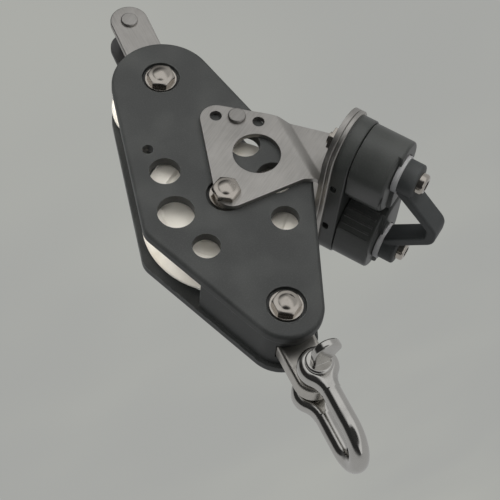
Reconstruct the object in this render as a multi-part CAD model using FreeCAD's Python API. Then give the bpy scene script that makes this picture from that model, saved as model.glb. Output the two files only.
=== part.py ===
"""Fiddle block with a becket, an angled cam cleat and a D shackle, hung by the shackle.

Axes: +Z towards the shackle, -Y the front with the cleat arm's adjusting holes, -X the cleat side.
The solids are drawn about the main axle and lifted to the origin, which is the inner bearing
point of the shackle's bow. Lengths are millimetres and angles degrees.
"""
import FreeCAD
import Part
import math
import os

V = FreeCAD.Vector

# Axles, measured along the block from the main axle
small_axle_drop = 50.6
head_bolt_rise = 43.0
pin_rise = 21.4
shackle_reach = 25.3

# Cheeks
cheek_thickness = 3.5
cheek_edge_radius = 1.3
small_end_radius = 16.95
small_end_offset = 2.2
shoulder_radius = 6.8
shoulder_half_width = 28.7
shoulder_rise = 2.5
head_end_radius = 11.6
thrust_boss_radius = 8.0
recess_radius = 6.2
recess_depth = 1.5

# Lightening holes of each cheek: height from the main axle, distance from the centre line, radius
lightening_holes = ((-15.5, 13.9, 5.0), (0.0, 16.9, 5.95), (15.0, 13.4, 4.45))

# Sheaves
main_sheave_radius = 26.0
small_sheave_radius = 16.1
sheave_width = 11.0
groove_radius = 4.9
groove_depth = 4.4
sheave_web_recess = 0.8
hub_radius = 7.0
rim_width = 2.2
running_gap = 0.35
bore_clearance = 0.05

# Through bolts, sleeves, washers and dome nuts
bolt_radius = 2.5
bolt_hole_clearance = 0.1
sleeve_radius = 4.0
washer_radius = 5.2
washer_thickness = 1.0
nut_across_flats = 8.0
nut_height = 2.1
nut_chamfer = 0.5
dome_base_radius = 3.0
dome_height = 0.8
bolt_head_height = 2.6
bolt_head_chamfer = 0.7

# Becket
becket_plate_thickness = 1.9
becket_plate_half_width = 6.4
becket_length = 29.4
becket_lean = 2.4
becket_pin_radius = 3.0
rivet_head_radius = 2.9
rivet_head_height = 0.9
becket_edge_radius = 0.4

# Head spacer and strap link
spacer_inset = 1.4
sheave_clearance = 1.5
link_width = 6.5
link_thickness = 2.2
link_slot_clearance = 0.2
link_edge_radius = 1.3

# Shackle
shackle_bar_radius = 3.0
shackle_gap = 11.2
shackle_eye_radius = 6.3
shackle_neck_radius = 6.0
shackle_eye_rounding = 2.4
shackle_pin_radius = 3.0
pin_to_link_gap = 0.3
pin_hole_clearance = 0.05
pin_collar_radius = 4.3
pin_collar_height = 1.3
tab_radius = 4.6
tab_thickness = 2.6
tab_reach = 6.2
tab_offset = 1.6
tab_waist = 2.6

# Cleat bracket: one folded sheet with an arm each side of the block and a platform across
sheet = 1.8
arm_step = 2.4
step_start = 28.0
step_end = 31.2
step_inner_rounding = 1.4
step_outer_rounding = 3.2
fold_radius = 2.2
cleat_tilt = 34.4
cleat_setback = 31.9
platform_height = 22.3
bracket_window_radius = 7.7
bracket_window_rise = -9.6
bracket_window_side = 15.2
arm_root_side = 5.4
arm_root_rise = 6.6
arm_root_radius = 5.2
arm_corner_side = 6.0
arm_corner_drop = 35.8
arm_corner_radius = 5.5
arm_waist_side = 24.6
arm_waist_rise = 5.0
arm_waist_radius = 3.0
arm_flank_side = 25.2
arm_flank_drop = 22.6
arm_flank_radius = 12.0
adjuster_radius = 29.65
adjuster_angles = (161.6, 148.4, 134.5)
adjuster_hole_radius = 1.95
adjuster_screw_radius = 1.8
adjuster_head_radius = 2.9
adjuster_head_height = 1.1
arm_hole_clearance = 0.1

# Cam cleat
cleat_screw_spacing = 38.0
platform_end_radius = 12.2
cleat_plate_thickness = 1.5
plate_edge_radius = 0.35
base_end_radius = 11.2
base_height = 4.9
base_slot_height = 2.2
base_slot_length = 3.2
base_slot_drop = 1.0
base_slot_depth = 1.6
base_slot_offset = 10.2
cam_height = 12.4
cam_gap = 0.3
cam_drum_radius = 10.7
cam_nose_radius = 18.4
cam_back_angle = 50.0
cam_nose_angle = -32.0
cam_back_radius = 13.2
cam_nose_gain = 1.3
cam_edge_radius = 1.0
cam_rim_rise = 1.1
cam_rim_side = 2.5
cam_rim_clearance = 0.45
ridge_lift = 0.4
cam_tooth_height = 1.1
cam_tooth_count = 9
cam_bush_radius = 3.4
cam_bush_wall_clearance = 0.1
cam_washer_radius = 6.3
cam_washer_thickness = 1.8
spring_wire = 0.7
spring_pocket_radius = 5.6
spring_pocket_depth = 4.2
spring_turns = 3.0
spring_lift = 0.05
foot_radius = 5.7
foot_height = 5.2
arch_rise = 12.8
arch_width = 7.6
arch_thickness = 3.4
arch_crown_width = 3.7
arch_foot_inset = 1.4
arch_corner_radius = 5.0
arch_inner_radius = 2.0
arch_edge_radius = 0.9
cleat_screw_radius = 2.0
screw_head_radius = 3.5
screw_head_height = 2.5
cleat_nut_across_flats = 7.0
cleat_nut_height = 2.9
screw_tail = 0.9

# Worked out from the sizes above
inner_gap = sheave_width + 2 * running_gap + 2 * becket_plate_thickness
cheek_inner = inner_gap / 2
cheek_outer = cheek_inner + cheek_thickness
z_main = 0.0
z_small = -small_axle_drop
z_head = head_bolt_rise
z_pin = head_bolt_rise + pin_rise
origin_height = z_pin + shackle_reach
platform_top = platform_height + sheet
plate_top = platform_top + cleat_plate_thickness
base_top = plate_top + base_height
cam_bottom = base_top + cam_gap
cam_top = cam_bottom + cam_height
washer_bottom = cam_top + cam_gap
foot_bottom = washer_bottom + cam_washer_thickness
foot_top = foot_bottom + foot_height
screw_offset = cleat_screw_spacing / 2


def prism(face, start, end):
    """Extrude a face drawn in the XZ plane from y = start to y = end."""
    moved = face.copy()
    moved.translate(V(0, start, 0))
    return moved.extrude(V(0, end - start, 0))


def disc(x, z, radius, start, end):
    """Solid cylinder along Y at (x, z)."""
    return Part.makeCylinder(radius, end - start, V(x, start, z), V(0, 1, 0))


def ring(x, z, outer, inner, start, end):
    """Washer or sleeve along Y."""
    return disc(x, z, outer, start, end).cut(disc(x, z, inner, start - 1, end + 1))


def hexagon(across_flats, height):
    """Hexagonal prism along Z standing on z = 0, a flat facing each way along X."""
    corner = across_flats / math.sqrt(3)
    points = [V(corner * math.sin(math.radians(60 * i)), corner * math.cos(math.radians(60 * i)), 0)
              for i in range(6)]
    return Part.Face(Part.makePolygon(points + points[:1])).extrude(V(0, 0, height))


def along_depth(shape, x, z, y, facing):
    """Stand a shape drawn along +Z on the plane y, its top facing -Y (facing -1) or +Y (+1)."""
    turned = shape.copy()
    turned.rotate(V(0, 0, 0), V(1, 0, 0), -90 * facing)
    turned.translate(V(x, y, z))
    return turned


def tangent_face(circles, inset=0.0):
    """Face in XZ bounded by the hull of circles (x, z, radius) listed counter-clockwise from -Y."""
    normals = []
    for index, (x1, z1, r1) in enumerate(circles):
        x2, z2, r2 = circles[(index + 1) % len(circles)]
        span = math.hypot(x2 - x1, z2 - z1)
        ex, ez = (x2 - x1) / span, (z2 - z1) / span
        lean = (r1 - r2) / span
        side = math.sqrt(1 - lean * lean)
        normals.append((side * ez + lean * ex, -side * ex + lean * ez))
    edges = []
    for index, (x, z, radius) in enumerate(circles):
        before, after = normals[index - 1], normals[index]
        first = math.atan2(before[1], before[0])
        turn = (math.atan2(after[1], after[0]) - first) % (2 * math.pi)
        mid = (math.cos(first + turn / 2), math.sin(first + turn / 2))
        r = radius - inset
        start, middle, end = (V(x + r * n[0], 0, z + r * n[1]) for n in (before, mid, after))
        edges.append(Part.Arc(start, middle, end).toShape())
        nx, nz, nr = circles[(index + 1) % len(circles)]
        following = V(nx + (nr - inset) * after[0], 0, nz + (nr - inset) * after[1])
        edges.append(Part.LineSegment(end, following).toShape())
    return Part.Face(Part.Wire(edges))


def rounded_face(corners):
    """Face in XZ from corners (x, z, radius), each rounded by its radius."""
    edges = []
    last_end = None
    first_start = None
    for index, (x, z, radius) in enumerate(corners):
        px, pz, _ = corners[index - 1]
        nx, nz, _ = corners[(index + 1) % len(corners)]
        here = V(x, 0, z)
        back = (V(px, 0, pz) - here).normalize()
        ahead = (V(nx, 0, nz) - here).normalize()
        half = back.getAngle(ahead) / 2
        reach = radius / math.tan(half)
        start, end = here + back * reach, here + ahead * reach
        bisector = (back + ahead).normalize()
        middle = here + bisector * (radius / math.sin(half) - radius)
        if last_end is not None:
            edges.append(Part.LineSegment(last_end, start).toShape())
        else:
            first_start = start
        edges.append(Part.Arc(start, middle, end).toShape())
        last_end = end
    edges.append(Part.LineSegment(last_end, first_start).toShape())
    return Part.Face(Part.Wire(edges))


def outer_edges(shape, level):
    """Edges of a plate's outline that lie in the plane y = level, holes left out."""
    face = max((f for f in shape.Faces if abs(f.CenterOfMass.y - level) < 1e-4 and f.BoundBox.YLength < 1e-4),
               key=lambda f: f.Area)
    return face.OuterWire.Edges


def cheek_circles():
    """Circles whose hull is the cheek's outline."""
    shoulder_x = shoulder_half_width - shoulder_radius
    return [(0, z_small + small_end_offset, small_end_radius),
            (shoulder_x, shoulder_rise, shoulder_radius),
            (0, z_head, head_end_radius),
            (-shoulder_x, shoulder_rise, shoulder_radius)]


def adjuster_points():
    """Centres of the adjusting holes round the main axle, as (x, z)."""
    return [(-adjuster_radius * math.sin(math.radians(angle)), adjuster_radius * math.cos(math.radians(angle)))
            for angle in adjuster_angles]


def cheek():
    """Front cheek: rounded plate with its holes, nut recesses and a thrust boss for the main sheave."""
    plate = prism(tangent_face(cheek_circles()), -cheek_outer, -cheek_inner)
    plate = plate.makeFillet(cheek_edge_radius, outer_edges(plate, -cheek_outer))
    boss_height = becket_plate_thickness
    plate = plate.fuse(disc(0, z_main, thrust_boss_radius, -cheek_inner - 0.5, -cheek_inner + boss_height))
    holes = [disc(side * offset, rise, radius, -cheek_outer - 1, 0)
             for rise, offset, radius in lightening_holes for side in (-1, 1)]
    for height in (z_small, z_main, z_head):
        holes.append(disc(0, height, bolt_radius + bolt_hole_clearance, -cheek_outer - 1, 0))
        holes.append(disc(0, height, recess_radius, -cheek_outer - 1, -cheek_outer + recess_depth))
    screw_x, screw_z = adjuster_points()[1]
    for side in (-1, 1):
        holes.append(disc(side * abs(screw_x), screw_z, adjuster_screw_radius, -cheek_outer - 1, 0))
    return plate.cut(Part.makeCompound(holes)).removeSplitter()


def mirrored(shape):
    """The same piece for the other side of the block."""
    return shape.mirror(V(0, 0, 0), V(0, 1, 0))


def sheave(radius, height):
    """Grooved wheel on the axle at the given height."""
    half = sheave_width / 2
    groove_floor = radius - groove_depth
    flare = groove_radius * 0.87
    bore = sleeve_radius + bore_clearance
    web = half - sheave_web_recess
    lower = [V(bore, -half, 0), V(hub_radius, -half, 0), V(hub_radius + 0.8, -web, 0),
             V(radius - groove_depth - rim_width, -web, 0), V(radius - groove_depth - rim_width + 0.8, -half, 0),
             V(radius - 0.5, -half, 0), V(radius, -half + 0.5, 0), V(radius, -flare, 0)]
    upper = [V(p.x, -p.y, 0) for p in reversed(lower)]
    edges = [Part.LineSegment(a, b).toShape() for a, b in zip(lower, lower[1:])]
    edges.append(Part.Arc(lower[-1], V(groove_floor, 0, 0), upper[0]).toShape())
    edges += [Part.LineSegment(a, b).toShape() for a, b in zip(upper, upper[1:])]
    edges.append(Part.LineSegment(upper[-1], lower[0]).toShape())
    wheel = Part.Face(Part.Wire(edges)).revolve(V(0, 0, 0), V(0, 1, 0), 360)
    wheel.translate(V(0, 0, height))
    return wheel


def chamfered_hexagon(across_flats, height, chamfer):
    """Hexagonal prism along Z with the corners of its top turned off."""
    corner = across_flats / math.sqrt(3)
    turned = Part.makeCylinder(corner, height - chamfer).fuse(
        Part.makeCone(corner, corner - 2 * chamfer, chamfer, V(0, 0, height - chamfer)))
    return hexagon(across_flats, height).common(turned)


def cap_nut():
    """Low hexagonal dome nut along +Z, its seat on z = 0."""
    body = chamfered_hexagon(nut_across_flats, nut_height, nut_chamfer)
    sphere_radius = (dome_base_radius ** 2 + dome_height ** 2) / (2 * dome_height)
    sphere = Part.makeSphere(sphere_radius, V(0, 0, nut_height + dome_height - sphere_radius))
    dome = sphere.common(Part.makeCylinder(sphere_radius, 2 * dome_height, V(0, 0, nut_height - 0.1)))
    return body.fuse(dome).cut(Part.makeCylinder(bolt_radius, nut_height))


def through_bolt(height, seat_front, seat_back):
    """Hexagon-headed bolt along Y: head on the back seat, end inside the dome nut on the front seat."""
    shank = disc(0, height, bolt_radius, -seat_front - nut_height, seat_back)
    head = chamfered_hexagon(nut_across_flats, bolt_head_height, bolt_head_chamfer)
    return shank.fuse(along_depth(head, 0, height, seat_back, 1))


def becket_plate():
    """Front becket plate on the small axle, lying against the cheek and leaning a little to the cleat side."""
    face = tangent_face([(0, -becket_length, becket_plate_half_width), (0, 0, becket_plate_half_width)])
    plate = prism(face, -cheek_inner, -cheek_inner + becket_plate_thickness)
    plate = plate.makeFillet(becket_edge_radius, outer_edges(plate, -cheek_inner))
    plate = plate.cut(disc(0, 0, bolt_radius + bolt_hole_clearance, -cheek_inner - 1, 0))
    plate = plate.cut(disc(0, -becket_length, becket_pin_radius * 0.8, -cheek_inner - 1, 0))
    return on_becket(plate)


def becket_pin():
    """Pin between the becket plates, stepped through them and riveted over both faces."""
    inner = cheek_inner - becket_plate_thickness
    pin = disc(0, -becket_length, becket_pin_radius, -inner, inner)
    pin = pin.fuse(disc(0, -becket_length, becket_pin_radius * 0.8, -cheek_inner, cheek_inner))
    head = Part.makeCylinder(rivet_head_radius, rivet_head_height)
    head = head.makeFillet(rivet_head_height * 0.6, [e for e in head.Edges if e.BoundBox.ZMin > rivet_head_height / 2])
    for facing in (-1, 1):
        pin = pin.fuse(along_depth(head, 0, -becket_length, facing * cheek_inner, facing))
    return on_becket(pin)


def on_becket(shape):
    """Lean a piece drawn about the small axle by the becket's angle and set it on that axle."""
    shape.rotate(V(0, 0, 0), V(0, 1, 0), becket_lean)
    shape.translate(V(0, 0, z_small))
    return shape


def link_outline(half_width, top):
    """Stadium in XZ round the head bolt's sleeve, its other half circle centred at z = top."""
    return tangent_face([(0, z_head, half_width), (0, top, half_width)])


def link_top():
    """Centre height of the link's upper half circle, from the pin that bears inside it."""
    return z_pin - (sleeve_radius - shackle_pin_radius - pin_to_link_gap)


def head_link():
    """Rounded link with a bore for the head bolt's sleeve and one for the shackle pin."""
    outer = sleeve_radius + link_thickness
    body = prism(link_outline(outer, link_top()), -link_width / 2, link_width / 2)
    rim = outer_edges(body, -link_width / 2) + outer_edges(body, link_width / 2)
    body = body.makeFillet(link_edge_radius, rim)
    bores = [disc(0, z_head, sleeve_radius, -link_width, link_width),
             disc(0, z_pin, shackle_pin_radius + pin_to_link_gap, -link_width, link_width)]
    return body.cut(Part.makeCompound(bores))


def head_spacer():
    """Block between the cheeks at the head, hollowed for the sheave and slotted for the link."""
    body = prism(tangent_face(cheek_circles(), spacer_inset), -cheek_inner, cheek_inner)
    clear = main_sheave_radius + sheave_clearance
    shelf = clear * 0.86
    above = Part.makeBox(4 * clear, 2 * cheek_inner + 2, z_pin, V(-2 * clear, -cheek_inner - 1, shelf))
    body = body.common(above).cut(disc(0, z_main, clear, -cheek_inner - 1, cheek_inner + 1))
    outer = sleeve_radius + link_thickness + link_slot_clearance
    half = link_width / 2 + link_slot_clearance
    body = body.cut(prism(link_outline(outer, z_pin), -half, half))
    return body.cut(disc(0, z_head, sleeve_radius, -cheek_inner - 1, cheek_inner + 1))


def shackle_eye():
    """Outline in XZ of a shackle eye with a waisted neck that runs into the bar above it."""
    reach = shackle_eye_radius + shackle_neck_radius
    side = shackle_bar_radius + shackle_neck_radius
    rise = math.sqrt(reach * reach - side * side)
    share = shackle_eye_radius / reach
    touch = V(side * share, 0, rise * share)
    turn = math.atan2(rise, side) / 2
    waist = V(side - shackle_neck_radius * math.cos(turn), 0, rise - shackle_neck_radius * math.sin(turn))
    top = V(shackle_bar_radius, 0, rise)

    def across(point):
        return V(-point.x, 0, point.z)

    return Part.Face(Part.Wire([
        Part.Arc(touch, V(0, 0, -shackle_eye_radius), across(touch)).toShape(),
        Part.Arc(across(touch), across(waist), across(top)).toShape(),
        Part.LineSegment(across(top), top).toShape(),
        Part.Arc(top, waist, touch).toShape()]))


def shackle_bow():
    """D shackle bow: two waisted eyes on the pin's axis and a round bar bent between them."""
    arm = shackle_gap / 2 + shackle_bar_radius
    crown = z_pin + shackle_reach + shackle_bar_radius
    turn = crown - arm
    foot = z_pin + shackle_eye_radius
    path = Part.Wire([
        Part.LineSegment(V(0, -arm, foot), V(0, -arm, turn)).toShape(),
        Part.Arc(V(0, -arm, turn), V(0, 0, crown), V(0, arm, turn)).toShape(),
        Part.LineSegment(V(0, arm, turn), V(0, arm, foot)).toShape()])
    section = Part.Wire(Part.makeCircle(shackle_bar_radius, V(0, -arm, foot), V(0, 0, 1)))
    bow = path.makePipe(Part.Face(section))
    inner, outer = shackle_gap / 2, shackle_gap / 2 + 2 * shackle_bar_radius
    for side in (-1, 1):
        start, end = sorted((side * inner, side * outer))
        eye = prism(shackle_eye(), start, end)
        rim = [e for e in eye.Edges if e.BoundBox.YLength < 1e-6 and e.Curve.TypeId == "Part::GeomCircle"]
        eye = eye.makeFillet(shackle_eye_rounding, rim)
        eye.translate(V(0, 0, z_pin))
        bow = bow.fuse(eye)
    return bow.cut(disc(0, z_pin, shackle_pin_radius + pin_hole_clearance, -outer - 1, outer + 1))


def shackle_pin():
    """Pin through both eyes with a collar and a rounded thumb tab in front."""
    outer = shackle_gap / 2 + 2 * shackle_bar_radius
    pin = disc(0, z_pin, shackle_pin_radius, -outer - pin_collar_height, outer)
    collar = Part.makeCylinder(pin_collar_radius, pin_collar_height)
    collar = collar.makeFillet(pin_collar_height * 0.6, [e for e in collar.Edges if e.BoundBox.ZMin > pin_collar_height / 2])
    pin = pin.fuse(along_depth(collar, 0, z_pin, -outer, -1))
    root = -outer - pin_collar_height * 0.5
    tab_y = -outer - tab_reach
    face = Part.Face(Part.Wire([
        Part.LineSegment(V(tab_waist, root, 0), V(-tab_waist, root, 0)).toShape(),
        Part.LineSegment(V(-tab_waist, root, 0), V(-tab_offset - tab_radius, tab_y, 0)).toShape(),
        Part.Arc(V(-tab_offset - tab_radius, tab_y, 0), V(-tab_offset, tab_y - tab_radius, 0),
                 V(-tab_offset + tab_radius, tab_y, 0)).toShape(),
        Part.LineSegment(V(-tab_offset + tab_radius, tab_y, 0), V(tab_waist, root, 0)).toShape()]))
    tab = face.extrude(V(0, 0, tab_thickness))
    tab.translate(V(0, 0, z_pin - tab_thickness / 2))
    tab = tab.makeFillet(tab_thickness * 0.3, [e for e in tab.Edges if e.BoundBox.ZLength < 1e-6
                                               and e.BoundBox.YMin < root - tab_reach * 0.3])
    return pin.fuse(tab)


def on_cleat(shape):
    """Move a piece from the cleat's own axes (X to the sheave, Z up the screws) to the block."""
    shape.translate(V(-cleat_setback, 0, 0))
    shape.rotate(V(0, 0, 0), V(0, 1, 0), -cleat_tilt)
    return shape


def stadium(radius, bottom, top):
    """Plate with round ends about both cleat screws, in the cleat's own axes."""
    ends = [Part.makeCylinder(radius, top - bottom, V(0, side * screw_offset, bottom)) for side in (-1, 1)]
    middle = Part.makeBox(2 * radius, cleat_screw_spacing, top - bottom, V(-radius, -screw_offset, bottom))
    return ends[0].fuse(ends[1]).fuse(middle).removeSplitter()


def at_screws(shape):
    """The shape repeated at both cleat screws, front one first."""
    pair = []
    for side in (-1, 1):
        moved = shape.copy()
        moved.translate(V(0, side * screw_offset, 0))
        pair.append(moved)
    return pair


def arm_outline(margin):
    """Outline of the bracket's arm in XZ, carried up to the platform's underside plus a margin."""
    tilt = math.radians(cleat_tilt)

    def at_platform(along):
        level = platform_height + margin
        return (along * math.cos(tilt) - level * math.sin(tilt), along * math.sin(tilt) + level * math.cos(tilt))

    far_x, far_z = at_platform(-cleat_setback - platform_end_radius * 0.8)
    near_x, near_z = at_platform(-cleat_setback + platform_end_radius * 0.9)
    return rounded_face([(-arm_corner_side, -arm_corner_drop, arm_corner_radius),
                         (arm_root_side, arm_root_rise, arm_root_radius),
                         (-arm_waist_side, arm_waist_rise, arm_waist_radius),
                         (near_x, near_z, 0.05), (far_x, far_z, 0.05),
                         (-arm_flank_side, -arm_flank_drop, arm_flank_radius)])


def bracket_arm():
    """Front arm: flat on the cheek, stepped inwards past the cheek's edge, up to the platform."""
    flat, inner = cheek_outer, cheek_outer - arm_step
    reach = 3 * adjuster_radius
    section = Part.Face(Part.makePolygon([
        V(reach, -flat, 0), V(-step_start, -flat, 0), V(-step_end, -inner, 0), V(-reach, -inner, 0),
        V(-reach, -inner - sheet, 0), V(-step_end, -inner - sheet, 0), V(-step_start, -flat - sheet, 0),
        V(reach, -flat - sheet, 0), V(reach, -flat, 0)]))
    strip = section.extrude(V(0, 0, 2 * reach))
    strip.translate(V(0, 0, -reach))
    for radius, depths in ((step_inner_rounding, (flat, inner + sheet)), (step_outer_rounding, (flat + sheet, inner))):
        strip = strip.makeFillet(radius, [e for e in strip.Edges if e.BoundBox.ZLength > reach
                                          and abs(e.BoundBox.XMax) < reach / 2 and e.BoundBox.YLength < 1e-6
                                          and min(abs(abs(e.BoundBox.YMax) - d) for d in depths) < 1e-6
                                          and min(abs(e.BoundBox.XMax + x) for x in (step_start, step_end)) < 1e-6])
    arm = strip.common(prism(arm_outline(sheet * 0.5), -flat - sheet - 1, -inner + 1))
    holes = [disc(0, z_main, bolt_radius + bolt_hole_clearance, -reach, 0),
             disc(-bracket_window_side, bracket_window_rise, bracket_window_radius, -reach, 0)]
    holes += [disc(x, z, adjuster_hole_radius, -reach, 0) for x, z in adjuster_points()]
    return arm.cut(Part.makeCompound(holes))


def fold_cove():
    """Rounded inner corner of the fold between the front arm's inner face and the platform."""
    inner = cheek_outer - arm_step
    length = platform_end_radius * 1.6
    square = Part.makeBox(length, fold_radius, fold_radius,
                          V(-platform_end_radius * 0.75, -inner, platform_height - fold_radius))
    hollow = Part.makeCylinder(fold_radius, length, V(-platform_end_radius * 0.75, -inner + fold_radius,
                                                      platform_height - fold_radius), V(1, 0, 0))
    return on_cleat(square.cut(hollow))


def cleat_bracket():
    """Folded stainless bracket: two arms and the platform, drilled for the cleat's screws."""
    platform = stadium(platform_end_radius, platform_height, platform_top)
    platform = platform.makeFillet(plate_edge_radius, [e for e in platform.Edges
                                                       if e.BoundBox.ZMin > platform_top - 1e-4])
    hole = Part.makeCylinder(cleat_screw_radius + arm_hole_clearance, sheet + 2, V(0, 0, platform_height - 1))
    platform = platform.cut(Part.makeCompound(at_screws(hole)))
    arm, cove = bracket_arm(), fold_cove()
    body = on_cleat(platform)
    for piece in (arm, mirrored(arm), cove, mirrored(cove)):
        body = body.fuse(piece)
    return body.removeSplitter()


def adjuster_screw():
    """Round-headed screw through the middle adjusting hole into the cheek."""
    x, z = adjuster_points()[1]
    seat = cheek_outer + sheet
    head = Part.makeCylinder(adjuster_head_radius, adjuster_head_height)
    head = head.makeFillet(adjuster_head_height * 0.5, [e for e in head.Edges
                                                        if e.BoundBox.ZMin > adjuster_head_height / 2])
    shank = disc(x, z, adjuster_screw_radius, -seat, -cheek_inner)
    return shank.fuse(along_depth(head, x, z, -seat, -1))


def cleat_base():
    """Moulded base under the cams, with vent slots in the side towards the sheave."""
    body = stadium(base_end_radius, plate_top, base_top)
    body = body.makeFillet(0.5, [e for e in body.Edges if e.BoundBox.ZMin > base_top - 1e-4])
    cuts = at_screws(Part.makeCylinder(cleat_screw_radius + arm_hole_clearance, base_height + 2, V(0, 0, plate_top - 1)))
    slot_z = plate_top + base_height / 2 - base_slot_height / 2 - base_slot_drop
    for centre in (-base_slot_offset, base_slot_offset):
        slot = Part.makeBox(base_slot_depth + 1, base_slot_length, base_slot_height,
                            V(base_end_radius - base_slot_depth, centre - base_slot_length / 2, slot_z))
        ends = [e for e in slot.Edges if e.BoundBox.XLength > base_slot_depth]
        cuts.append(slot.makeFillet(base_slot_height * 0.45, ends))
    return on_cleat(body.cut(Part.makeCompound(cuts)))


def cam_point(radius, angle):
    """Point of the front cam about its screw; the angle is from the midplane towards the sheave."""
    turn = math.radians(angle)
    return V(radius * math.sin(turn), radius * math.cos(turn), 0)


def jaw_radius(angle):
    """Spiral of the front cam's jaw, smaller towards the sheave side."""
    if angle > 0:
        return cam_nose_radius - (cam_nose_radius - cam_back_radius) * angle / cam_back_angle
    return cam_nose_radius + cam_nose_gain * angle / cam_nose_angle


def cam():
    """Front cam about its screw at the origin: drum, spiral jaw with ridges, spring pocket and bore."""
    depth = cam_tooth_height
    nose = cam_point(jaw_radius(cam_nose_angle) - depth, cam_nose_angle)
    heel = cam_point(cam_back_radius, cam_back_angle)
    middle = cam_point(jaw_radius(0) - depth, 0)
    nose_tangent = tangent_angle(nose, -1)
    heel_tangent = tangent_angle(heel, 1)
    drum_nose, drum_heel = cam_point(cam_drum_radius, nose_tangent), cam_point(cam_drum_radius, heel_tangent)
    outline = Part.Wire([
        Part.Arc(nose, middle, heel).toShape(),
        Part.LineSegment(heel, drum_heel).toShape(),
        Part.Arc(drum_heel, V(0, -cam_drum_radius, 0), drum_nose).toShape(),
        Part.LineSegment(drum_nose, nose).toShape()])
    profile, reach = Part.Face(outline), 4 * cam_nose_radius
    low = rounded_top(profile.extrude(V(0, 0, cam_height)))
    high = rounded_top(profile.extrude(V(0, 0, cam_height + cam_rim_rise)))
    sheave_side = Part.makeBox(reach, reach, reach, V(cam_rim_side, -reach / 2, -1))
    body = high.cut(sheave_side).fuse(low.common(sheave_side))
    body = body.cut(Part.makeCylinder(cam_washer_radius + cam_rim_clearance, 2 * cam_rim_rise, V(0, 0, cam_height)))
    tooth_step = (cam_back_angle - cam_nose_angle) / cam_tooth_count
    for index in range(cam_tooth_count):
        angle = cam_nose_angle + tooth_step * (index + 0.5)
        root = jaw_radius(angle) - 2 * depth
        half = tooth_step * 0.42
        ridge = Part.Face(Part.makePolygon([
            cam_point(root, angle - half), cam_point(jaw_radius(angle), angle - half * 0.25),
            cam_point(jaw_radius(angle), angle + half * 0.25), cam_point(root, angle + half),
            cam_point(root, angle - half)])).extrude(V(0, 0, cam_height - 2 * cam_edge_radius))
        ridge.translate(V(0, 0, ridge_lift))
        body = body.fuse(ridge)
    body = body.cut(Part.makeCylinder(cam_bush_radius + bore_clearance, cam_height + 2, V(0, 0, -1)))
    body = body.cut(Part.makeCylinder(spring_pocket_radius, spring_pocket_depth + 1, V(0, 0, -1)))
    body.translate(V(0, 0, cam_bottom))
    return body


def rounded_top(solid):
    """Cam blank with the edges of its top face rounded."""
    top = solid.BoundBox.ZMax
    return solid.makeFillet(cam_edge_radius, [e for e in solid.Edges if e.BoundBox.ZMin > top - 1e-4])


def tangent_angle(point, side):
    """Angle on the drum where a line from an outside point touches it, on the given side."""
    distance = point.Length
    bearing = math.degrees(math.atan2(point.x, point.y))
    return bearing + side * math.degrees(math.acos(cam_drum_radius / distance))


def cam_spring():
    """Torsion spring of square wire in the cam's pocket round the bush."""
    radius, half = (cam_bush_radius + spring_pocket_radius) / 2, spring_wire / 2
    pitch = (spring_pocket_depth - 2 * spring_wire) / spring_turns
    helix = Part.makeHelix(pitch, pitch * spring_turns, radius)
    corners = [V(radius + x, 0, z) for x, z in ((-half, -half), (half, -half), (half, half), (-half, half))]
    profile = Part.makePolygon(corners + corners[:1])
    coil = Part.Wire(helix.Edges).makePipeShell([profile], True, True)
    coil.translate(V(0, 0, base_top + half + spring_lift))
    return coil


def fairlead():
    """Moulded rope guide: a round foot on each cam washer and a bent strap arched between them."""
    body = None
    bore = Part.makeCylinder(cleat_screw_radius + arm_hole_clearance, foot_height + 2, V(0, 0, foot_bottom - 1))
    foot = Part.makeCylinder(foot_radius, foot_height, V(0, 0, foot_bottom))
    foot = foot.makeFillet(0.9, [e for e in foot.Edges if e.BoundBox.ZMin > foot_top - 1e-4])
    start = screw_offset - arch_foot_inset
    crown = foot_bottom + arch_rise
    half_crown = arch_crown_width / 2
    slope = math.atan2(arch_rise, start - arch_thickness - half_crown)
    spread = arch_thickness * math.tan(slope / 2)
    side = arch_thickness / math.sin(slope)
    inner = [(start - side, foot_bottom), (half_crown, crown), (-half_crown, crown), (side - start, foot_bottom)]
    outer = [(-start, foot_bottom), (-half_crown - spread, crown + arch_thickness),
             (half_crown + spread, crown + arch_thickness), (start, foot_bottom)]
    points = [V(-arch_width / 2, y, z) for y, z in outer + inner]
    strap = Part.Face(Part.makePolygon(points + points[:1])).extrude(V(arch_width, 0, 0))
    for level, radius in ((crown + arch_thickness, arch_corner_radius), (crown, arch_inner_radius)):
        bends = [e for e in strap.Edges if e.BoundBox.XLength > arch_width / 2
                 and abs(e.BoundBox.ZMin - level) < 1e-4]
        strap = strap.makeFillet(radius, bends)
    strap = strap.makeFillet(arch_edge_radius, [e for e in strap.Edges if e.BoundBox.XLength < 1e-4
                                                and e.BoundBox.ZMax > foot_bottom + arch_edge_radius])
    body = strap
    for piece in at_screws(foot):
        body = body.fuse(piece)
    return on_cleat(body.cut(Part.makeCompound(at_screws(bore))))


def cleat_screw():
    """Pan-headed screw along Z through the whole cleat."""
    tail = platform_height - cleat_nut_height - screw_tail
    head = Part.makeCylinder(screw_head_radius, screw_head_height, V(0, 0, foot_top))
    head = head.makeFillet(screw_head_height * 0.4, [e for e in head.Edges
                                                     if e.BoundBox.ZMin > foot_top + screw_head_height / 2])
    drive = hexagon(screw_head_radius, screw_head_height)
    drive.translate(V(0, 0, foot_top + screw_head_height * 0.5))
    return head.cut(drive).fuse(Part.makeCylinder(cleat_screw_radius, foot_top - tail, V(0, 0, tail)))


def cleat_nut():
    """Plain nut under the platform."""
    nut = hexagon(cleat_nut_across_flats, cleat_nut_height)
    nut.rotate(V(0, 0, 0), V(0, 0, 1), 30)
    nut = nut.cut(Part.makeCylinder(cleat_screw_radius, cleat_nut_height + 2, V(0, 0, -1)))
    nut.translate(V(0, 0, platform_height - cleat_nut_height))
    return nut


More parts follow.
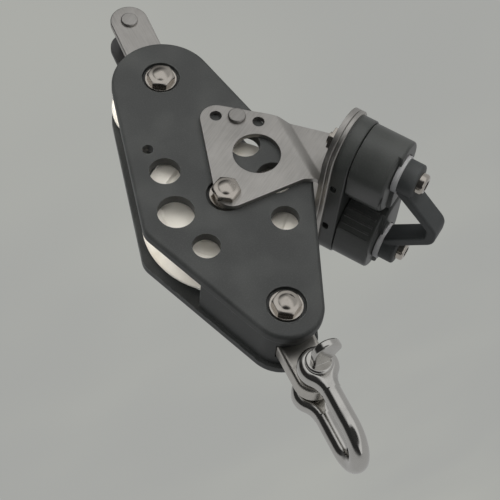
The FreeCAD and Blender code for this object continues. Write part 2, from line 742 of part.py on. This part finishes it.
def tube(outer, inner, bottom, top):
    """Ring along Z."""
    return Part.makeCylinder(outer, top - bottom, V(0, 0, bottom)).cut(
        Part.makeCylinder(inner, top - bottom + 2, V(0, 0, bottom - 1)))


def block_pieces():
    """Cheeks, head, axles and sheaves."""
    front = cheek()
    pieces = {"front_cheek": front, "back_cheek": mirrored(front), "head_spacer": head_spacer(),
              "head_link": head_link(), "main_sheave": sheave(main_sheave_radius, z_main),
              "small_sheave": sheave(small_sheave_radius, z_small)}
    plate = becket_plate()
    pieces["becket_plate_front"] = plate
    pieces["becket_plate_back"] = mirrored(plate)
    pieces["becket_pin"] = becket_pin()
    floor = cheek_outer - recess_depth
    for name, height in (("main", z_main), ("small", z_small), ("head", z_head)):
        is_main = name == "main"
        thickness = recess_depth if is_main else washer_thickness
        seat = cheek_outer + sheet if is_main else floor + thickness
        sleeve_half = cheek_inner if name == "head" else cheek_inner - becket_plate_thickness
        pieces[name + "_sleeve"] = ring(0, height, sleeve_radius, bolt_radius + bolt_hole_clearance,
                                        -sleeve_half, sleeve_half)
        for side, facing in (("front", -1), ("back", 1)):
            start, end = sorted((facing * floor, facing * (floor + thickness)))
            pieces[name + "_washer_" + side] = ring(0, height, washer_radius, bolt_radius + bolt_hole_clearance,
                                                    start, end)
        pieces[name + "_bolt"] = through_bolt(height, seat, seat)
        pieces[name + "_cap_nut"] = along_depth(cap_nut(), 0, height, -seat, -1)
    return pieces


def cleat_pieces():
    """Bracket, cam cleat and its fastenings."""
    screw = adjuster_screw()
    pieces = {"cleat_bracket": cleat_bracket(), "adjuster_screw_front": screw,
              "adjuster_screw_back": mirrored(screw)}
    plate = stadium(platform_end_radius, platform_top, plate_top)
    plate = plate.makeFillet(plate_edge_radius, [e for e in plate.Edges if e.BoundBox.ZLength < 1e-6])
    hole = Part.makeCylinder(cleat_screw_radius + arm_hole_clearance, sheet + 4, V(0, 0, platform_top - 1))
    pieces["cleat_plate"] = on_cleat(plate.cut(Part.makeCompound(at_screws(hole))))
    pieces["cleat_base"] = cleat_base()
    pieces["fairlead"] = fairlead()
    bore = cleat_screw_radius + cam_bush_wall_clearance
    repeats = {"cam_bush": tube(cam_bush_radius, bore, base_top, washer_bottom),
               "cam_washer": tube(cam_washer_radius, bore, washer_bottom, foot_bottom),
               "cam_spring": cam_spring(), "cleat_screw": cleat_screw(), "cleat_nut": cleat_nut(), "cam": cam()}
    for name, shape in repeats.items():
        front = shape.copy()
        front.translate(V(0, -screw_offset, 0))
        front = on_cleat(front)
        pieces[name + "_front"] = front
        pieces[name + "_back"] = mirrored(front)
    return pieces


def build():
    """Every piece by name, lifted so that the shackle's bearing point is the origin."""
    pieces = block_pieces()
    pieces.update(cleat_pieces())
    pieces["shackle_bow"] = shackle_bow()
    pieces["shackle_pin"] = shackle_pin()
    for shape in pieces.values():
        shape.translate(V(0, 0, -origin_height))
    return pieces


os.makedirs("parts", exist_ok=True)
for node, solid in build().items():
    solid.exportStep("parts/" + node + ".step")
    print(node, len(solid.Solids), round(solid.Volume, 1), solid.isValid())
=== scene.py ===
"""Fiddle block with a becket, an angled cam cleat and a shackle, dressed for rendering.

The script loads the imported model, gives every piece its finish, closes the shackle's bow and the
head link into one skin each, and sets the camera, the lamps and the floor. Lengths are metres in
the model's frame: +Z towards the shackle, -Y the front, -X the side of the cleat.
"""
import logging
import math
from dataclasses import dataclass
from enum import Enum

import bpy
from mathutils import Matrix, Vector


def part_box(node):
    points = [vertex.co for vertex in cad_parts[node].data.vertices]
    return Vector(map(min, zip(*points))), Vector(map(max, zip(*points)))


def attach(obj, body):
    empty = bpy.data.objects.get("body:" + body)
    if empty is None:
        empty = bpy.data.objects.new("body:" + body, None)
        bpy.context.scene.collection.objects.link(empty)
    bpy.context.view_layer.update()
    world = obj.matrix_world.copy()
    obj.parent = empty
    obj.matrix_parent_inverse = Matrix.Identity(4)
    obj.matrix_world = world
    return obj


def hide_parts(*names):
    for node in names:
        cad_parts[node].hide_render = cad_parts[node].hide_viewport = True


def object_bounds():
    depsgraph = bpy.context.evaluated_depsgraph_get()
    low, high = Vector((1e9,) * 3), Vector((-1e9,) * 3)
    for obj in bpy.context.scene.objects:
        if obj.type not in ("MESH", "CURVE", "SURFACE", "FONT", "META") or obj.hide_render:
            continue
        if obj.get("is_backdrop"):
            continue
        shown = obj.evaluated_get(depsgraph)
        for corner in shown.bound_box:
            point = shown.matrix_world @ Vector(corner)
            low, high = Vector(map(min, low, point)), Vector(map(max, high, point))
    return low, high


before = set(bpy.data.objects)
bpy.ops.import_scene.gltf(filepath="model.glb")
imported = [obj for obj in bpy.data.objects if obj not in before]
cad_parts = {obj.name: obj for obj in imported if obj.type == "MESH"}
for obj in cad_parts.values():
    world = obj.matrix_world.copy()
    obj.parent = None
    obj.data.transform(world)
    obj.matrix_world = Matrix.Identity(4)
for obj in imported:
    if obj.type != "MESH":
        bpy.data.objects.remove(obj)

LOG = logging.getLogger("fiddle_block")
MM = 0.001
SMOOTH_BELOW = math.radians(32.0)
WELD_DISTANCE = 0.002 * MM
BEVEL_SAMPLES = 4


class Side(Enum):
    """The two faces of the block; the value is the sign of y."""

    FRONT = -1
    BACK = 1

    @property
    def word(self) -> str:
        """Ending of the names of the pieces on this side."""
        return self.name.lower()


class Axle(Enum):
    """The three through bolts, by the start of their pieces' names."""

    MAIN = "main"
    SMALL = "small"
    HEAD = "head"


class Term:
    """A shader socket that Python's operators turn into Math nodes."""

    def __init__(self, shader: "Shader", socket: bpy.types.NodeSocket) -> None:
        """Keep the socket and the shader that it belongs to."""
        self.shader = shader
        self.socket = socket

    def maths(self, operation: str, *operands: "Term | float") -> "Term":
        """Add one Math node.

        Args:
            operation: Blender's name of the operation.
            operands: terms or numbers, in the node's order.

        Returns:
            The node's value.
        """
        return self.shader.add("ShaderNodeMath", {"operation": operation}, dict(enumerate(operands)))

    def __add__(self, other: "Term | float") -> "Term":
        """Sum."""
        return self.maths("ADD", self, other)

    __radd__ = __add__

    def __sub__(self, other: "Term | float") -> "Term":
        """Difference."""
        return self.maths("SUBTRACT", self, other)

    def __rsub__(self, other: "Term | float") -> "Term":
        """Difference with the term on the right."""
        return self.maths("SUBTRACT", other, self)

    def __mul__(self, other: "Term | float") -> "Term":
        """Product."""
        return self.maths("MULTIPLY", self, other)

    __rmul__ = __mul__

    def ramp(self, low: float, high: float) -> "Term":
        """Smooth step: 0 at low and below, 1 at high and above."""
        inputs = {"Value": self, "From Min": low, "From Max": high}
        return self.shader.add("ShaderNodeMapRange", {"interpolation_type": "SMOOTHSTEP"}, inputs)


class Shader:
    """A material, or the world, and the one way in which its nodes are made."""

    def __init__(self, name: str) -> None:
        """Start an empty material with Blender's own surface and output nodes."""
        self.material = bpy.data.materials.new(name)
        self.material.use_nodes = True
        self.tree = self.material.node_tree
        self.surface = self.tree.nodes["Principled BSDF"]

    @classmethod
    def around(cls, world: bpy.types.World) -> "Shader":
        """Make a shader for a world's own nodes.

        Args:
            world: the world, with its nodes in use.

        Returns:
            The shader, whose surface is the world's background.
        """
        shader = cls.__new__(cls)
        shader.tree = world.node_tree
        shader.surface = world.node_tree.nodes["Background"]
        return shader

    def add(self, kind: str, settings: dict | None = None, inputs: dict | None = None,
            output: int | str = 0) -> Term:
        """Make any node.

        Args:
            kind: the node's type.
            settings: its own settings, such as an operation, set first.
            inputs: values or terms by the socket's name or number.
            output: which output is wanted.

        Returns:
            That output as a term.
        """
        node = self.tree.nodes.new(kind)
        for name, value in (settings or {}).items():
            setattr(node, name, value)
        for key, value in (inputs or {}).items():
            self.feed(node.inputs[key], value)
        return Term(self, node.outputs[output])

    def feed(self, socket: bpy.types.NodeSocket, value: "Term | float | tuple") -> None:
        """Link a term to a socket, or set the socket's own value."""
        if isinstance(value, Term):
            self.tree.links.new(value.socket, socket)
        else:
            socket.default_value = value

    def set(self, **values: "Term | float | tuple") -> None:
        """Feed the surface's sockets; an underscore in a name stands for a space."""
        for name, value in values.items():
            self.feed(self.surface.inputs[name.replace("_", " ")], value)

    def vector(self, operation: str, *operands: "Term | tuple | Vector") -> Term:
        """Add one Vector Math node.

        Args:
            operation: Blender's name of the operation.
            operands: terms or vectors, in the node's order.

        Returns:
            The node's number for a length or a dot product, and otherwise its vector.
        """
        output = "Value" if operation in ("LENGTH", "DOT_PRODUCT") else "Vector"
        return self.add("ShaderNodeVectorMath", {"operation": operation}, dict(enumerate(operands)), output)

    def place(self, stretch: tuple = (1.0, 1.0, 1.0), turn: tuple = (0.0, 0.0, 0.0)) -> Term:
        """Object coordinates, turned and then stretched."""
        here = self.add("ShaderNodeTexCoord", output="Object")
        turned = self.add("ShaderNodeMapping", inputs={"Vector": here, "Rotation": turn})
        return self.add("ShaderNodeMapping", inputs={"Vector": turned, "Scale": stretch})

    def noise(self, where: Term, size: float, detail: float = 3.0, rough: float = 0.55) -> Term:
        """Noise whose features measure about the given size in metres."""
        inputs = {"Vector": where, "Scale": 1.0 / size, "Detail": detail, "Roughness": rough}
        return self.add("ShaderNodeTexNoise", inputs=inputs)

    def blend(self, mask: "Term | float", first: "Term | tuple", second: "Term | tuple") -> Term:
        """Mix two colours by a mask."""
        inputs = {"Factor": mask, 6: first, 7: second}
        return self.add("ShaderNodeMix", {"data_type": "RGBA"}, inputs, output=2)

    def edge(self, radius: float) -> Term:
        """Mask that is bright along sharp edges, about a radius wide each side."""
        flat = self.add("ShaderNodeNewGeometry", output="Normal")
        return (1.0 - self.vector("DOT_PRODUCT", self.eased(radius), flat)).ramp(0.02, 0.25)

    def eased(self, radius: float) -> Term:
        """Normal of the surface with its edges rounded by a radius."""
        return self.add("ShaderNodeBevel", {"samples": BEVEL_SAMPLES}, {"Radius": radius})

    def relief(self, height: Term, depth: float, edge_radius: float) -> Term:
        """Normal of a relief of the given depth in metres, on edges eased by a radius."""
        inputs = {"Height": height, "Strength": 1.0, "Distance": depth, "Normal": self.eased(edge_radius)}
        return self.add("ShaderNodeBump", inputs=inputs)


def grey(level: float) -> tuple:
    """A neutral colour."""
    return (level, level, level, 1.0)


def shaded(colour: tuple, shares: tuple) -> tuple:
    """A colour with its red, green and blue each brought down to a share."""
    return (colour[0] * shares[0], colour[1] * shares[1], colour[2] * shares[2], 1.0)


@dataclass(frozen=True)
class MouldedPlastic:
    """Filled nylon from a tool with a fine spark texture, a little rubbed along its edges."""

    name: str
    colour: tuple = (0.022, 0.0233, 0.0226, 1.0)
    worn: tuple = (0.105, 0.108, 0.102, 1.0)
    roughness: float = 0.46
    grain: float = 0.45 * MM
    grain_depth: float = 0.020 * MM
    edge_radius: float = 0.35 * MM
    rub_reach: float = 1.6
    rub_break: float = 2.2 * MM
    cloud_size: float = 14 * MM
    scuff_size: float = 0.9 * MM
    scuff_stretch: tuple = (1.0, 0.12, 0.35)
    scuff_turn: tuple = (0.2, 0.4, 0.3)

    def make(self) -> bpy.types.Material:
        """Build the material: dust in clouds and in the grain, then rubbed edges and scuffs."""
        shader = Shader(self.name)
        where = shader.place()
        cloud = shader.noise(where, self.cloud_size, 2.0)
        grain = shader.noise(where, self.grain, 2.0, 0.6)
        along = shader.place(self.scuff_stretch, self.scuff_turn)
        scuffs = shader.noise(along, self.scuff_size, 4.0).ramp(0.66, 0.82)
        patchy = shader.noise(where, self.rub_break).ramp(0.35, 0.62)
        rubbed = shader.edge(self.edge_radius * self.rub_reach) * patchy
        dust = cloud.ramp(0.35, 0.75) * 0.15 + grain.ramp(0.45, 0.70) * 0.12
        dusty = shader.blend(dust, self.colour, self.worn)
        shader.set(Base_Color=shader.blend(rubbed * 0.85 + scuffs * 0.12, dusty, self.worn),
                   Roughness=self.roughness + cloud * 0.10 + scuffs * 0.08 - rubbed * 0.08,
                   Normal=shader.relief(grain + scuffs * 0.4, self.grain_depth, self.edge_radius))
        return shader.material


@dataclass(frozen=True)
class TurnedPlastic:
    """Cream acetal turned on a lathe: fine rings about an axle that runs along Y."""

    name: str
    axle_height: float
    colour: tuple = (0.84, 0.80, 0.72, 1.0)
    stained: tuple = (0.60, 0.53, 0.39, 1.0)
    roughness: float = 0.38
    ring: float = 0.30 * MM
    ring_depth: float = 0.010 * MM
    edge_radius: float = 0.25 * MM
    cloud_size: float = 9 * MM
    speck_size: float = 0.8 * MM

    def make(self) -> bpy.types.Material:
        """Build the material: rings by the distance from the axle, stains in clouds and specks."""
        shader = Shader(self.name)
        where = shader.place()
        centred = shader.vector("SUBTRACT", where, (0.0, 0.0, self.axle_height))
        radius = shader.vector("LENGTH", shader.vector("MULTIPLY", centred, (1.0, 0.0, 1.0)))
        turns = radius * (math.tau / self.ring)
        rings = turns.maths("SINE", turns)
        cloud = shader.noise(where, self.cloud_size, 3.0)
        specks = shader.noise(where, self.speck_size, 3.0).ramp(0.60, 0.80)
        soiled = cloud.ramp(0.45, 0.80) * 0.45 + specks * 0.15
        shader.set(Base_Color=shader.blend(soiled, self.colour, self.stained),
                   Roughness=self.roughness + cloud * 0.12,
                   Normal=shader.relief(rings * 0.5 + specks, self.ring_depth, self.edge_radius))
        return shader.material


@dataclass(frozen=True)
class BrushedSteel:
    """Stainless sheet with a fine grain brushed along one direction."""

    name: str
    colour: tuple = (0.56, 0.543, 0.515, 1.0)
    dull: tuple = (0.40, 0.388, 0.368, 1.0)
    roughness: float = 0.34
    turn: tuple = (0.0, 0.6, 0.0)
    grain_depth: float = 0.006 * MM
    stroke_size: float = 0.28 * MM
    stroke_stretch: tuple = (0.03, 1.0, 1.0)
    cloud_size: float = 11 * MM
    broad_size: float = 34 * MM
    worn_radius: float = 0.35 * MM
    edge_radius: float = 0.25 * MM

    def make(self) -> bpy.types.Material:
        """Build the material: brush strokes over small and broad clouds, brighter at worn edges."""
        shader = Shader(self.name)
        where = shader.place()
        strokes = shader.noise(shader.place(self.stroke_stretch, self.turn), self.stroke_size, 3.0, 0.65)
        cloud = shader.noise(where, self.cloud_size, 3.0)
        worn = shader.edge(self.worn_radius)
        broad = shader.noise(where, self.broad_size, 1.0).ramp(0.35, 0.65)
        tone = cloud.ramp(0.3, 0.75) * 0.35 + strokes.ramp(0.35, 0.75) * 0.35 + broad * 0.40
        shader.set(Base_Color=shader.blend(tone - worn * 0.6, self.colour, self.dull),
                   Metallic=1.0,
                   Roughness=self.roughness + strokes * 0.14 + cloud * 0.08 - worn * 0.12,
                   Normal=shader.relief(strokes, self.grain_depth, self.edge_radius))
        return shader.material


@dataclass(frozen=True)
class PolishedSteel:
    """Polished stainless forging with hairline scratches and faint handling marks."""

    name: str
    colour: tuple = (0.56, 0.55, 0.525, 1.0)
    roughness: float = 0.13
    wave_depth: float = 0.05 * MM
    wave_size: float = 4 * MM
    mark_size: float = 5 * MM
    mark_shade: float = 0.72
    hairline_size: float = 0.35 * MM
    hairline_stretch: tuple = (0.05, 1.0, 0.6)
    hairline_turn: tuple = (0.3, 0.5, 0.2)
    edge_radius: float = 0.3 * MM

    def make(self) -> bpy.types.Material:
        """Build the material: dull marks and hairlines on a softly waved polish."""
        shader = Shader(self.name)
        where = shader.place()
        along = shader.place(self.hairline_stretch, self.hairline_turn)
        marks = shader.noise(where, self.mark_size, 3.0).ramp(0.45, 0.8)
        hairlines = shader.noise(along, self.hairline_size, 4.0).ramp(0.62, 0.70)
        waves = shader.noise(where, self.wave_size, 1.0)
        dim = shaded(self.colour, (self.mark_shade,) * 3)
        shader.set(Base_Color=shader.blend(marks * 0.4, self.colour, dim),
                   Metallic=1.0,
                   Roughness=self.roughness + marks * 0.10 + hairlines * 0.12,
                   Normal=shader.relief(waves + hairlines * 0.02, self.wave_depth, self.edge_radius))
        return shader.material


class Finish(Enum):
    """The finishes of the block, each with the record's material slot."""

    SHELL = ("black_plastic", MouldedPlastic("shell_nylon"))
    CAM = ("cam_plastic", MouldedPlastic("cam_nylon", colour=(0.030, 0.032, 0.030, 1.0), roughness=0.34))
    GUIDE = ("fairlead_plastic",
             MouldedPlastic("guide_nylon", colour=(0.030, 0.033, 0.034, 1.0), roughness=0.50))
    WASHER = ("washer_plastic",
              MouldedPlastic("washer_acetal", colour=(0.46, 0.455, 0.46, 1.0),
                             worn=(0.54, 0.54, 0.53, 1.0), roughness=0.38))
    SHEET = ("brushed_steel", BrushedSteel("sheet_steel"))
    FORGED = ("polished_steel", PolishedSteel("forged_steel"))
    HEAD = ("fastener_steel",
            BrushedSteel("tumbled_steel", colour=(0.54, 0.524, 0.50, 1.0), roughness=0.40))
    LINK = ("polished_steel",
            PolishedSteel("link_steel", colour=(0.56, 0.54, 0.50, 1.0), roughness=0.32))
    FASTENER = ("fastener_steel",
                PolishedSteel("turned_steel", colour=(0.50, 0.465, 0.42, 1.0), roughness=0.15))
    SPRING = ("spring_steel", PolishedSteel("spring_wire", colour=grey(0.42), roughness=0.30))

    @property
    def slot(self) -> str:
        """The record's material slot."""
        return self.value[0]

    def material(self) -> bpy.types.Material:
        """The finish's material, made once."""
        made = bpy.data.materials.get(self.value[1].name)
        return made or self.value[1].make()


def dress(node: str, material: bpy.types.Material) -> None:
    """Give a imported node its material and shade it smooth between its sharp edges."""
    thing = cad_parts[node]
    thing.data.materials.clear()
    thing.data.materials.append(material)
    smooth(thing)
    LOG.info("%s dressed in %s", node, material.name)


def smooth(thing: bpy.types.Object) -> None:
    """Weld a mesh's seams and smooth it wherever its faces meet at less than the limit."""
    weld = thing.modifiers.new("seams", "WELD")
    weld.merge_threshold = WELD_DISTANCE
    group = bpy.data.node_groups.get("smooth_below_angle") or smoothing_group(SMOOTH_BELOW)
    thing.modifiers.new("smoothing", "NODES").node_group = group


def bake(thing: bpy.types.Object) -> None:
    """Apply a piece's modifiers to its mesh."""
    bpy.context.view_layer.update()
    evaluated = thing.evaluated_get(bpy.context.evaluated_depsgraph_get())
    mesh = bpy.data.meshes.new_from_object(evaluated)
    thing.modifiers.clear()
    thing.data = mesh
    mesh.shade_smooth()


def smoothing_group(limit: float) -> bpy.types.GeometryNodeTree:
    """Geometry nodes that mark edges sharper than the limit as sharp and smooth the rest."""
    group = bpy.data.node_groups.new("smooth_below_angle", "GeometryNodeTree")
    group.interface.new_socket("Mesh", in_out="INPUT", socket_type="NodeSocketGeometry")
    group.interface.new_socket("Mesh", in_out="OUTPUT", socket_type="NodeSocketGeometry")
    start = group.nodes.new("NodeGroupInput")
    end = group.nodes.new("NodeGroupOutput")
    faces = group.nodes.new("GeometryNodeSetShadeSmooth")
    edges = group.nodes.new("GeometryNodeSetShadeSmooth")
    edges.domain = "EDGE"
    angle = group.nodes.new("GeometryNodeInputMeshEdgeAngle")
    within = group.nodes.new("FunctionNodeCompare")
    within.operation = "LESS_THAN"
    within.inputs[1].default_value = limit
    link = group.links.new
    link(start.outputs[0], faces.inputs["Geometry"])
    link(faces.outputs[0], edges.inputs["Geometry"])
    link(angle.outputs["Unsigned Angle"], within.inputs[0])
    link(within.outputs[0], edges.inputs["Shade Smooth"])
    link(edges.outputs[0], end.inputs[0])
    return group


@dataclass
class Shell:
    """The cheeks and the spacer between them at the head."""

    nodes: tuple = ("front_cheek", "back_cheek", "head_spacer")

    def build(self) -> None:
        """Dress the moulded shell."""
        for node in self.nodes:
            dress(node, Finish.SHELL.material())


@dataclass
class Sheaves:
    """The two turned sheaves."""

    nodes: tuple = ("main_sheave", "small_sheave")

    def build(self) -> None:
        """Dress each sheave with rings about its own axle."""
        for node in self.nodes:
            low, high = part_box(node)
            dress(node, TurnedPlastic(node + "_acetal", (low.z + high.z) / 2).make())


@dataclass
class Axles:
    """Through bolts with their sleeves, washers and dome nuts."""

    kinds: tuple = ("sleeve", "washer_front", "washer_back", "bolt", "cap_nut")

    def build(self) -> None:
        """Dress every axle's pieces."""
        for axle in Axle:
            for kind in self.kinds:
                dress(f"{axle.value}_{kind}", Finish.FASTENER.material())


@dataclass
class Becket:
    """The two plates and the riveted pin for the standing end of the rope."""

    brushing: tuple = (0.0, math.pi / 2, 0.0)
    # The rear plate's greys are painted shade: the front plate's steel made darker to stand in for the
    # shadow that the rear plate lies in.
    rear_tone: float = 0.20
    rear_dull: float = 0.14
    rear_roughness: float = 0.5

    def build(self) -> None:
        """Dress the plates along their length, the rear one darkened with painted shade, and the pin."""
        front = BrushedSteel("becket_steel", turn=self.brushing)
        # Painted shade: the rear plate is the front plate's steel in darker greys.
        rear = BrushedSteel("becket_steel_painted_shade", colour=grey(self.rear_tone), dull=grey(self.rear_dull),
                            roughness=self.rear_roughness, turn=self.brushing)
        dress("becket_plate_front", front.make())
        dress("becket_plate_back", rear.make())
        dress("becket_pin", Finish.HEAD.material())


@dataclass
class Head:
    """The strap link and the shackle with its pin."""

    grain: float = 0.22 * MM
    passes: int = 12
    easing: float = 0.6

    def build(self) -> None:
        """Dress the pin, and make the bow and the link as forgings with blended junctions."""
        dress("shackle_pin", Finish.FORGED.material())
        self.forge("shackle_bow", "forged_bow", "shackle", Finish.FORGED)
        self.forge("head_link", "forged_link", "block", Finish.LINK)

    def forge(self, node: str, name: str, body: str, finish: "Finish") -> None:
        """Close a copy of a node's surface into one skin and ease its creases.

        Args:
            node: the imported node, which the new piece stands for.
            name: the new piece's name.
            body: the body it rides on.
            finish: its finish.
        """
        piece = bpy.data.objects.new(name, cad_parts[node].data.copy())
        bpy.context.scene.collection.objects.link(piece)
        skin = piece.modifiers.new("skin", "REMESH")
        skin.mode, skin.voxel_size, skin.use_smooth_shade = "VOXEL", self.grain, True
        ease = piece.modifiers.new("ease", "LAPLACIANSMOOTH")
        ease.iterations, ease.lambda_factor, ease.lambda_border = self.passes, self.easing, 0.0
        bake(piece)
        piece.data.materials.clear()
        piece.data.materials.append(finish.material())
        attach(piece, body)
        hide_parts(node)
        LOG.info("%s made with %d faces", name, len(piece.data.polygons))


@dataclass
class Arm:
    """The folded bracket with its adjusting screws."""

    def build(self) -> None:
        """Dress the bracket and its screws."""
        dress("cleat_bracket", Finish.SHEET.material())
        for side in Side:
            dress("adjuster_screw_" + side.word, Finish.HEAD.material())


@dataclass
class CamCleat:
    """The cam cleat with its fairlead, springs and screws."""

    def build(self) -> None:
        """Dress the cleat's pieces."""
        dress("cleat_plate", Finish.SHEET.material())
        dress("cleat_base", Finish.CAM.material())
        dress("fairlead", Finish.GUIDE.material())
        kinds = {"cam": Finish.CAM, "cam_bush": Finish.WASHER, "cam_washer": Finish.WASHER,
                 "cam_spring": Finish.SPRING, "cleat_screw": Finish.FASTENER, "cleat_nut": Finish.FASTENER}
        for kind, finish in kinds.items():
            for side in Side:
                dress(f"{kind}_{side.word}", finish.material())


@dataclass(frozen=True)
class Lamp:
    """An area lamp placed in the camera's own directions: right, up and back, in metres.

    No lamp shows in metal, which takes its light and dark from the floor and the world.
    """

    name: str
    right: float
    up: float
    back: float
    size: float
    power: float
    colour: tuple = (1.0, 1.0, 1.0)


@dataclass
class Studio:
    """Camera, lamps, floor and surroundings."""

    camera_place: tuple = (0.1269, -0.3760, 0.1315)
    camera_back: tuple = (0.288, -0.840, 0.460)
    camera_up: tuple = (-0.326, -0.538, -0.777)
    lens: float = 102.73
    sensor: float = 36.0
    floor_drop: float = 1.2
    floor_span: float = 14.0
    floor_tone: tuple = (0.440, 0.446, 0.418, 1.0)
    floor_shade: tuple = (0.93, 0.93, 0.95)
    floor_cloud: float = 0.9
    floor_glow: float = 0.9
    foot_reach: tuple = (0.4, 1.5)
    foot_level: float = 0.08
    card_level: float = 0.46
    card_stretches: tuple = ((-26.0, 34.0, 0.03), (-96.0, 32.0, 0.80))
    card_softness: float = 9.0
    lens_reach: tuple = (0.80, 0.93)
    lens_level: float = 0.04
    surround_low: tuple = (0.16, 0.17, 0.175, 1.0)
    surround_high: tuple = (0.58, 0.575, 0.56, 1.0)
    surround_lean: float = 0.25
    surround_reach: tuple = (-0.75, 0.85)
    lamps: tuple = (
        Lamp("key", -0.22, 0.30, 0.12, 0.40, 1.5, (1.0, 0.99, 0.97)),
        Lamp("front", -0.30, 0.10, 1.20, 0.60, 1.5, (1.0, 0.995, 0.98)),
        Lamp("left", -0.75, 0.30, 0.15, 1.00, 5.7, (0.98, 0.99, 1.0)),
        Lamp("side", 0.85, -0.25, 0.30, 1.00, 1.2, (0.98, 0.99, 1.0)),
        Lamp("top", 0.18, 0.30, 0.26, 0.25, 0.85),
    )

    def build(self) -> None:
        """Set up everything that isn't the block."""
        self.make_camera()
        for lamp in self.lamps:
            self.make_lamp(lamp)
        self.make_floor()
        self.make_surroundings()
        bpy.context.scene.view_settings.view_transform = "Standard"

    def axes(self) -> tuple[Vector, Vector, Vector]:
        """The camera's right, up and back directions."""
        back = Vector(self.camera_back).normalized()
        right = Vector(self.camera_up).cross(back).normalized()
        return right, back.cross(right), back

    def make_camera(self) -> None:
        """The photograph's camera."""
        data = bpy.data.cameras.new("camera")
        data.lens = self.lens
        data.sensor_width = self.sensor
        data.clip_start, data.clip_end = 0.01, 50.0
        camera = bpy.data.objects.new("camera", data)
        turn = Matrix(self.axes()).transposed().to_4x4()
        camera.matrix_world = Matrix.Translation(Vector(self.camera_place)) @ turn
        bpy.context.scene.collection.objects.link(camera)
        bpy.context.scene.camera = camera

    def make_lamp(self, lamp: Lamp) -> None:
        """One area lamp, aimed at the middle of the block."""
        low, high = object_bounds()
        middle = (low + high) / 2
        right, up, back = self.axes()
        place = middle + right * lamp.right + up * lamp.up + back * lamp.back
        data = bpy.data.lights.new(lamp.name, "AREA")
        data.size = lamp.size
        data.energy = lamp.power
        data.color = lamp.colour
        thing = bpy.data.objects.new(lamp.name, data)
        turn = (middle - place).to_track_quat("-Z", "Y").to_matrix().to_4x4()
        thing.matrix_world = Matrix.Translation(place) @ turn
        thing.visible_glossy = False
        bpy.context.scene.collection.objects.link(thing)

    def make_floor(self) -> None:
        """A pale floor well below the hanging block, plain to the camera and patterned in metal."""
        half = self.floor_span / 2
        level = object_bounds()[0].z - self.floor_drop
        corners = [(-half, -half, level), (half, -half, level), (half, half, level), (-half, half, level)]
        mesh = bpy.data.meshes.new("floor")
        mesh.from_pydata(corners, [], [(0, 1, 2, 3)])
        floor = bpy.data.objects.new("floor", mesh)
        bpy.context.scene.collection.objects.link(floor)
        shader = Shader("floor_paper")
        where = shader.place()
        cloud = shader.noise(where, self.floor_cloud, 2.0).ramp(0.3, 0.7)
        paper = shader.blend(cloud, self.floor_tone, shaded(self.floor_tone, self.floor_shade))
        shader.set(Base_Color=paper, Roughness=0.9)
        glow = shader.add("ShaderNodeEmission", inputs={"Color": paper})
        seen = shader.add("ShaderNodeLightPath", output="Is Camera Ray")
        mirrored = shader.add("ShaderNodeLightPath", output="Is Glossy Ray")
        plain = Term(shader, shader.surface.outputs[0])
        mixed = shader.add("ShaderNodeMixShader", inputs={0: seen * self.floor_glow, 1: plain, 2: glow})
        away = shader.vector("LENGTH", shader.vector("MULTIPLY", where, (1.0, 1.0, 0.0)))
        around = self.tone_in_metal(shader, where)
        tone = shader.blend(away.ramp(*self.foot_reach), grey(self.foot_level), around)
        card = shader.add("ShaderNodeEmission", inputs={"Color": tone})
        mixed = shader.add("ShaderNodeMixShader", inputs={0: mirrored, 1: mixed, 2: card})
        shader.feed(shader.tree.nodes["Material Output"].inputs["Surface"], mixed)
        mesh.materials.append(shader.material)
        floor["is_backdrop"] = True

    def tone_in_metal(self, shader: Shader, place: Term) -> Term:
        """Tone of the surroundings as polished metal shows them, by the bearing from the block.

        Args:
            shader: the floor's or the world's shader.
            place: a place on the floor, or a direction.

        Returns:
            Grey, with a pale stretch before the block and a dark one beside it.
        """
        way = shader.vector("NORMALIZE", shader.vector("MULTIPLY", place, (1.0, 1.0, 0.0)))
        tone = grey(self.card_level)
        for angle, spread, level in self.card_stretches:
            middle = (math.cos(math.radians(angle)), math.sin(math.radians(angle)), 0.0)
            outer = math.cos(math.radians(spread + self.card_softness))
            inner = math.cos(math.radians(spread - self.card_softness))
            near = shader.vector("DOT_PRODUCT", way, middle).ramp(outer, inner)
            tone = shader.blend(near, tone, grey(level))
        return tone

    def make_surroundings(self) -> None:
        """A soft grey world: the floor's tone to the camera, and patterned in metal."""
        world = bpy.data.worlds.new("surroundings")
        world.use_nodes = True
        bpy.context.scene.world = world
        shader = Shader.around(world)
        way = shader.add("ShaderNodeTexCoord", output="Generated")
        side, height, apart = [shader.vector("DOT_PRODUCT", way, axis) for axis in self.axes()]
        slope = (height + side * self.surround_lean).ramp(*self.surround_reach)
        tone = shader.blend(slope, self.surround_low, self.surround_high)
        around = self.tone_in_metal(shader, way)
        card = shader.blend(apart.ramp(*self.lens_reach), around, grey(self.lens_level))
        mirrored = shader.add("ShaderNodeLightPath", output="Is Glossy Ray")
        seen = shader.add("ShaderNodeLightPath", output="Is Camera Ray")
        shader.set(Color=shader.blend(seen, shader.blend(mirrored, tone, card), self.floor_tone))


def main() -> None:
    """Build the studio, then the block from the shell outwards."""
    logging.basicConfig(level=logging.INFO, format="%(message)s")
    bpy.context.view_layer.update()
    Studio().build()
    for assembly in (Shell(), Sheaves(), Axles(), Becket(), Head(), Arm(), CamCleat()):
        assembly.build()
        LOG.info("%s done", type(assembly).__name__)


if __name__ == "__main__":
    main()
